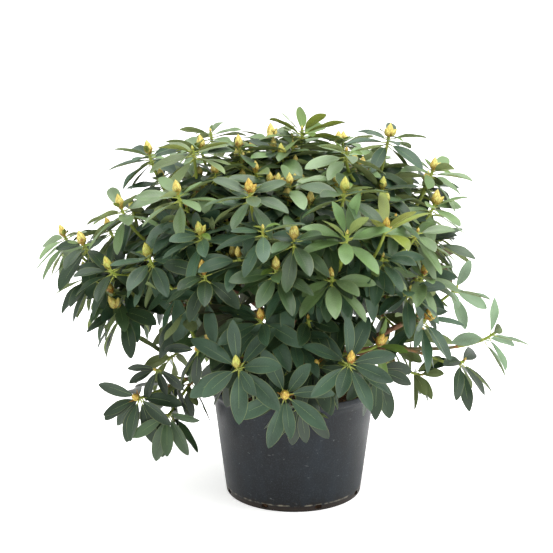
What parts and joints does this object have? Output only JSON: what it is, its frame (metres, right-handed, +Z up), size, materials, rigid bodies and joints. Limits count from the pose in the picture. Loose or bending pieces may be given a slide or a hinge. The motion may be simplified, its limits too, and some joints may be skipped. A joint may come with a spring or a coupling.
{
  "type": "potted rhododendron shrub",
  "caption": "Broad evergreen rhododendron shrub with whorls of oblong leaves and plump flower buds, in a round dark plastic nursery pot.",
  "frame": {"origin": "centre of the pot's flat underside", "axes": "+X to the right along the shrub's widest spread, +Y away from the front, +Z up"},
  "size_m": [1.267, 0.9965, 0.9741],
  "materials": {
    "pot": "satin",
    "soil": "matte",
    "bark": "matte",
    "foliage": "satin"
  },
  "bodies": {
    "root": {"bough_back_left": "bark", "bough_back_low_left": "bark", "bough_back_low_right": "bark", "bough_back_right": "bark", "bough_back_top": "bark", "bough_far_left": "bark", "bough_front_left": "bark", "bough_front_low_left": "bark", "bough_front_low_middle": "bark", "bough_front_low_right": "bark", "bough_front_middle": "bark", "bough_front_right": "bark", "bough_front_right_side": "bark", "bough_front_upper_left": "bark", "bough_front_upper_middle": "bark", "bough_front_upper_right": "bark", "bough_left_low": "bark", "bough_left_shoulder": "bark", "bough_low_left": "bark", "bough_right_long_high": "bark", "bough_right_long_low": "bark", "bough_right_low": "bark", "bough_right_middle": "bark", "bough_right_shoulder": "bark", "bough_top": "bark", "bough_top_left": "bark", "bough_upper_left": "bark", "bough_upper_right": "bark", "foliage_back_left": "foliage", "foliage_back_low_left": "foliage", "foliage_back_low_right": "foliage", "foliage_back_right": "foliage", "foliage_back_top": "foliage", "foliage_far_left": "foliage", "foliage_front_left": "foliage", "foliage_front_low_left": "foliage", "foliage_front_low_middle": "foliage", "foliage_front_low_right": "foliage", "foliage_front_middle": "foliage", "foliage_front_right": "foliage", "foliage_front_right_side": "foliage", "foliage_front_upper_left": "foliage", "foliage_front_upper_middle": "foliage", "foliage_front_upper_right": "foliage", "foliage_left_low": "foliage", "foliage_left_shoulder": "foliage", "foliage_low_left": "foliage", "foliage_right_long_high": "foliage", "foliage_right_long_low": "foliage", "foliage_right_low": "foliage", "foliage_right_middle": "foliage", "foliage_right_shoulder": "foliage", "foliage_top": "foliage", "foliage_top_left": "foliage", "foliage_upper_left": "foliage", "foliage_upper_right": "foliage", "main_stem": "bark", "pot": "pot", "potting_soil": "soil"}
  },
  "joints": []
}
